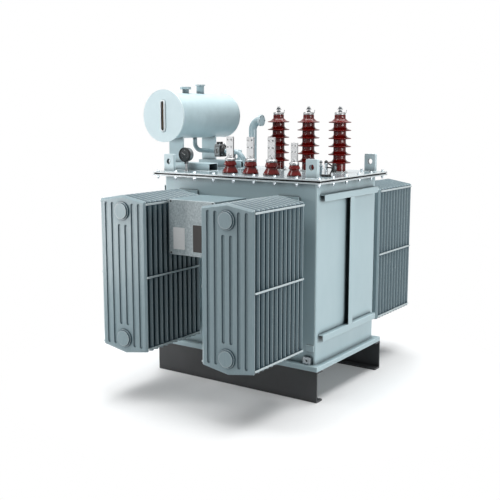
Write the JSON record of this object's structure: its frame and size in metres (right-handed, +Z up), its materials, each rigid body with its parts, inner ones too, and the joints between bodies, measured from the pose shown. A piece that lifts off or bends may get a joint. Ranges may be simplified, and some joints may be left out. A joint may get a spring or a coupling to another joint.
{
  "type": "power transformer",
  "caption": "Oil-filled power transformer on skid beams, with a bolted cover, finned radiators front and back, a drum conservator and porcelain bushings.",
  "frame": {"origin": "on the floor, under the middle of the overall footprint", "axes": "+X along the tank, away from the conservator; -Y towards the low voltage side, the front; +Z up"},
  "size_m": [1.6684, 2.374, 2.207],
  "materials": {
    "dark_paint": "dark grey satin paint on the skid beams",
    "tank_paint": "pale blue-grey satin paint",
    "cover_paint": "pale blue-grey paint, glossier on the cover",
    "radiator_paint": "mid blue-grey satin paint on pressed panels",
    "tie_zinc": "pale painted flat bar",
    "gasket_rubber": "black oil-proof rubber cork",
    "box_paint": "blue-grey satin paint on folded sheet",
    "gauge_frame": "pale cast alloy",
    "relay_alloy": "grey cast alloy",
    "porcelain": "glossy red-brown glaze",
    "tinned_metal": "bright tinned metal",
    "bushing_flange": "grey painted clamp ring",
    "black_metal": "black enamel",
    "terminal_steel": "bare machined steel pad"
  },
  "bodies": {
    "root": {"base_plate": "tank_paint", "bleed_plug": "black_metal", "breather_stub": "tank_paint", "cable_box": "box_paint", "cable_box_brackets": "box_paint", "cable_box_front": "box_paint", "conservator_back_end": "cover_paint", "conservator_beams": "cover_paint", "conservator_cradles": "cover_paint", "conservator_drum": "cover_paint", "conservator_front_cover": "cover_paint", "cover": "cover_paint", "cover_gasket": "gasket_rubber", "dial_thermometer": "black_metal", "earth_terminals": "terminal_steel", "end_posts": "tank_paint", "end_rails": "tank_paint", "filler_cap": "tank_paint", "gas_relay": "relay_alloy", "gas_relay_knobs": "black_metal", "hv_bushing_flanges": "bushing_flange", "hv_porcelains": "porcelain", "hv_terminals": "tinned_metal", "lifting_lugs": "cover_paint", "lv_caps": "tinned_metal", "lv_palms": "tinned_metal", "lv_porcelains": "porcelain", "oil_gauge": "gauge_frame", "radiator_back_left_panels": "radiator_paint", "radiator_back_right_panels": "radiator_paint", "radiator_front_left_panels": "radiator_paint", "radiator_front_right_panels": "radiator_paint", "radiator_headers": "radiator_paint", "radiator_pads": "tank_paint", "radiator_tie_bars": "tie_zinc", "relay_pipe_lower": "tank_paint", "relay_pipe_upper": "tank_paint", "relief_vent": "tank_paint", "relief_vent_plate": "tank_paint", "skid_beams": "dark_paint", "tank_flange": "cover_paint", "tank_wall_back": "tank_paint", "tank_wall_front": "tank_paint", "tank_wall_left": "tank_paint", "tank_wall_right": "tank_paint", "tap_changer_drive": "tank_paint", "tap_changer_wheel": "black_metal"}
  },
  "joints": []
}
